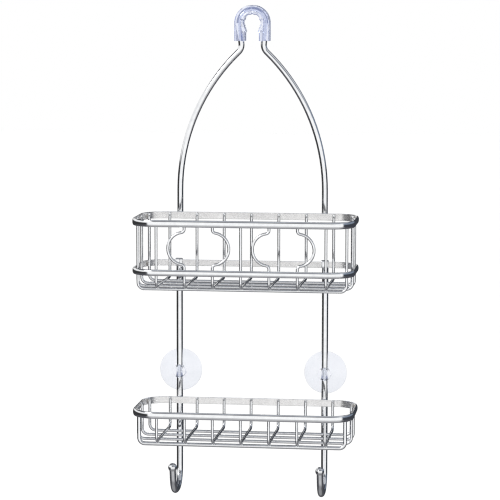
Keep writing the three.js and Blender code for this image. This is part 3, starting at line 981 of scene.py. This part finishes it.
def make_floor():
    """A pale matt floor well below the hooks, left out of reflections."""
    z = cad_box[0][2] - FLOOR_DROP
    s = FLOOR_HALF_SIZE
    mesh = bpy.data.meshes.new("floor")
    mesh.from_pydata([(-s, -s, z), (s, -s, z), (s, s, z), (-s, s, z)], [], [(0, 1, 2, 3)])
    floor = bpy.data.objects.new("floor", mesh)
    bpy.context.scene.collection.objects.link(floor)
    material, tree, shader = new_material("pale floor")
    place_in = tree.nodes.new("ShaderNodeTexCoord")
    cloud = noise(tree, place_in.outputs["Object"], 3.0, 2.0)
    tree.links.new(tint(tree, cloud, (0.90, 0.90, 0.90), (0.93, 0.93, 0.93)), shader.inputs["Base Color"])
    shader.inputs["Roughness"].default_value = 0.9
    shader.inputs["Specular IOR Level"].default_value = 0.0
    mesh.materials.append(material)
    floor.visible_glossy = False
    return floor


def calculate(tree, operation, a, b=0.0):
    """One Math node on sockets or numbers."""
    node = tree.nodes.new("ShaderNodeMath")
    node.operation = operation
    for socket, value in zip(node.inputs, (a, b)):
        if isinstance(value, bpy.types.NodeSocket):
            tree.links.new(value, socket)
        else:
            socket.default_value = value
    return node.outputs[0]


def soft_step(tree, value, low, high):
    """0 below low and 1 above high, with a smooth rise between."""
    node = tree.nodes.new("ShaderNodeMapRange")
    node.interpolation_type = "SMOOTHSTEP"
    node.inputs["From Min"].default_value = low
    node.inputs["From Max"].default_value = high
    tree.links.new(value, node.inputs["Value"])
    return node.outputs["Result"]


def over(tree, share, below, colour):
    """A colour laid over another by a share from 0 to 1."""
    node = tree.nodes.new("ShaderNodeMix")
    node.data_type = "RGBA"
    tree.links.new(share, node.inputs["Factor"])
    for socket, value in ((node.inputs[6], below), (node.inputs[7], colour)):
        if isinstance(value, bpy.types.NodeSocket):
            tree.links.new(value, socket)
        else:
            socket.default_value = (*value, 1)
    return node.outputs[2]


# %% Studio
DARK_LEFT, DARK_RIGHT = (0.042, 0.042, 0.044), (0.050, 0.056, 0.068)
ZENITH_BACK, ZENITH_FRONT = (0.08, 0.085, 0.10), (0.50, 0.52, 0.56)
FLOOR_NEAR, FLOOR_SIDES = (0.56, 0.56, 0.57), (0.09, 0.09, 0.10)
FLOOR_UNDER = (0.30, 0.30, 0.31)
LEFT_WALL, RIGHT_WALL = (0.95, 0.95, 0.95), (0.22, 0.26, 0.33)
RIGHT_STREAK = (0.62, 0.64, 0.68)
FRONT_LIGHT = (1.08, 1.08, 1.08)
BACKDROP = (1.0, 1.0, 1.0)
BACKDROP_SIDES, BACKDROP_ENDS = (0.36, 0.39, 0.52), (0.40, 0.43, 0.56)
SOFT_LIGHT = (1.15, 1.15, 1.15)


def direction_parts(tree):
    """A ray's rise z, its share to the right x / level, and how far it goes along the front light's axis,
    (x sin(axis) - y cos(axis)) / level, where level = sqrt(1 - z^2)."""
    direction = tree.nodes.new("ShaderNodeTexCoord").outputs["Generated"]
    axes = tree.nodes.new("ShaderNodeSeparateXYZ")
    tree.links.new(direction, axes.inputs[0])
    x, y, z = axes.outputs
    level_squared = calculate(tree, "SUBTRACT", 1.0, calculate(tree, "MULTIPLY", z, z))
    level = calculate(tree, "SQRT", calculate(tree, "MAXIMUM", level_squared, 1e-4))
    along = calculate(tree, "MULTIPLY", x, math.sin(FRONT_AXIS))
    ahead = calculate(tree, "SUBTRACT", along, calculate(tree, "MULTIPLY", y, math.cos(FRONT_AXIS)))
    return z, calculate(tree, "DIVIDE", x, level), calculate(tree, "DIVIDE", ahead, level)


def mirrored_sky(tree, z, rightward, facing):
    """What bright steel shows, laid on in order: dark walls, a zenith, a floor that is lighter in front, a
    low white wall at the left and a blue-grey one at the right, a streak, and the wide front light, whose
    top is higher at the left."""
    below = calculate(tree, "MULTIPLY", z, -1.0)
    sky = over(tree, soft_step(tree, rightward, -0.3, 0.3), DARK_LEFT, DARK_RIGHT)
    zenith = over(tree, soft_step(tree, facing, -0.3, 0.5), ZENITH_BACK, ZENITH_FRONT)
    sky = over(tree, soft_step(tree, z, 0.42, 0.70), sky, zenith)

    floor = over(tree, soft_step(tree, below, 0.60, 0.85), FLOOR_NEAR, FLOOR_UNDER)
    floor = over(tree, soft_step(tree, facing, 0.30, 0.80), FLOOR_SIDES, floor)
    floor = over(tree, soft_step(tree, below, 0.72, 0.93), floor, FLOOR_UNDER)
    sky = over(tree, soft_step(tree, below, 0.26, 0.42), sky, floor)

    under_half = soft_step(tree, below, -0.50, -0.38)
    low = calculate(tree, "MULTIPLY", soft_step(tree, z, 0.02, 0.10), under_half)
    left = calculate(tree, "MULTIPLY", low, soft_step(tree, rightward, -0.25, -0.45))
    right = calculate(tree, "MULTIPLY", low, soft_step(tree, rightward, 0.25, 0.60))
    sky = over(tree, left, sky, LEFT_WALL)
    sky = over(tree, right, sky, RIGHT_WALL)

    high_right = soft_step(tree, rightward, 0.80, 0.92)
    streak = calculate(tree, "MULTIPLY", high_right, soft_step(tree, z, 0.35, 0.55))
    streak = calculate(tree, "MULTIPLY", streak, soft_step(tree, facing, -0.35, 0.0))
    sky = over(tree, streak, sky, RIGHT_STREAK)

    left_rise = calculate(tree, "MULTIPLY", soft_step(tree, rightward, -0.30, -0.55), 0.48)
    top = calculate(tree, "ADD", 0.36, left_rise)
    under_top = soft_step(tree, calculate(tree, "SUBTRACT", top, z), -0.12, 0.14)
    over_floor = soft_step(tree, z, -0.42, -0.30)
    front = calculate(tree, "MULTIPLY", soft_step(tree, facing, 0.50, 0.66), over_floor)
    return over(tree, calculate(tree, "MULTIPLY", front, under_top), sky, FRONT_LIGHT)


def seen_through_sky(tree, z, rightward):
    """What shows through clear vinyl: a white backdrop that is blue-grey at its sides, top and bottom."""
    sideways = soft_step(tree, calculate(tree, "ABSOLUTE", rightward), 0.60, 0.95)
    through = over(tree, sideways, BACKDROP, BACKDROP_SIDES)
    steep = soft_step(tree, calculate(tree, "ABSOLUTE", z), 0.40, 0.80)
    return over(tree, steep, through, BACKDROP_ENDS)


def make_studio():
    """One sky for each kind of ray: mirrored, seen through vinyl, a soft light and a plain backdrop."""
    world = bpy.data.worlds.new("studio")
    bpy.context.scene.world = world
    world.use_nodes = True
    tree = world.node_tree
    z, rightward, facing = direction_parts(tree)
    rays = tree.nodes.new("ShaderNodeLightPath").outputs
    sky = mirrored_sky(tree, z, rightward, facing)
    sky = over(tree, rays["Is Transmission Ray"], sky, seen_through_sky(tree, z, rightward))
    sky = over(tree, rays["Is Diffuse Ray"], sky, SOFT_LIGHT)
    sky = over(tree, rays["Is Camera Ray"], sky, BACKDROP)
    tree.links.new(sky, tree.nodes["Background"].inputs["Color"])
    return world


def make_key_light():
    """A soft box at the upper left, for the vinyl's highlights."""
    light = bpy.data.lights.new("key", "AREA")
    light.shape = "RECTANGLE"
    light.size, light.size_y = 1.0, 0.7
    light.energy = 14.0
    key = bpy.data.objects.new("key", light)
    key.location = (-1.6, -1.4, 1.1)
    key.rotation_euler = (math.radians(58), 0, math.radians(-48))
    bpy.context.scene.collection.objects.link(key)
    return key


make_floor()
make_studio()
make_key_light()
scene = bpy.context.scene
scene.view_settings.view_transform = "Standard"
scene.view_settings.look = "None"
scene.cycles.use_denoising = True
scene.cycles.max_bounces = 16
scene.cycles.transmission_bounces = 12
scene.cycles.transparent_max_bounces = 12
scene.cycles.pixel_filter_type = "BLACKMAN_HARRIS"
scene.cycles.filter_width = 1.2
